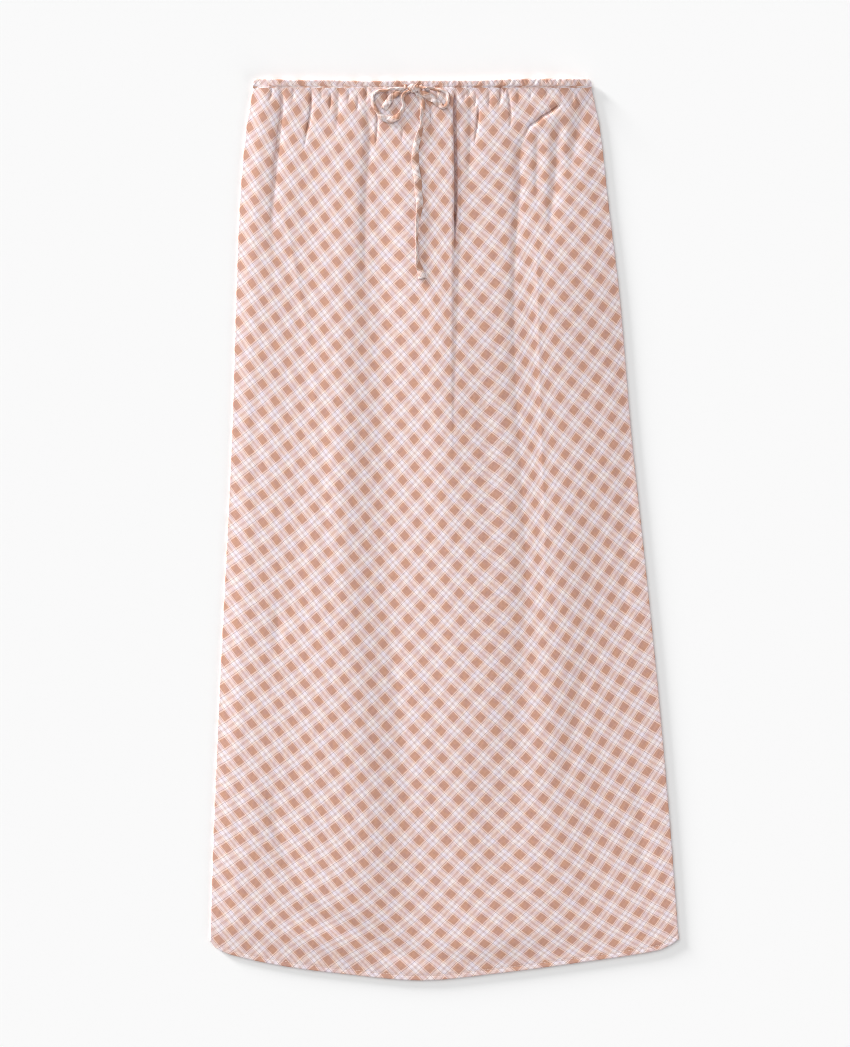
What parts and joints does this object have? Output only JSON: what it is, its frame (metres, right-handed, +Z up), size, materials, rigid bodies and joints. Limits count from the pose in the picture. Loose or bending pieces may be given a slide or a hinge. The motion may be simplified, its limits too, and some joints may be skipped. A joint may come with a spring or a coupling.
{
  "type": "maxi skirt",
  "caption": "Long checked skirt laid flat, with a ruched elastic waist casing, a bow tie at the front and a curved, narrow-turned hem.",
  "frame": {"origin": "middle of the bounding box of the skirt, on the surface that it lies on", "axes": "+Y along the skirt from its hem to its waist, +Z up out of the front panel, +X to the right of someone who looks down on the front with the waist at the top"},
  "size_m": [0.4957, 0.9532, 0.0149],
  "materials": {
    "front_cloth": "plain-woven viscose in a small tan, pink and white check on the bias, matt",
    "back_cloth": "plain-woven viscose in a small tan, pink and white check on the bias, matt",
    "casing_cloth": "the same viscose, ruched over elastic and stitched",
    "tie_cloth": "the same viscose, folded and pressed into a flat tie"
  },
  "bodies": {
    "root": {"front_panel": "front_cloth", "back_panel": "back_cloth", "front_casing": "casing_cloth", "back_casing": "casing_cloth", "tie_knot": "tie_cloth", "tie_left_loop": "tie_cloth", "tie_right_loop": "tie_cloth", "tie_short_tail": "tie_cloth", "tie_long_tail": "tie_cloth"}
  },
  "joints": []
}
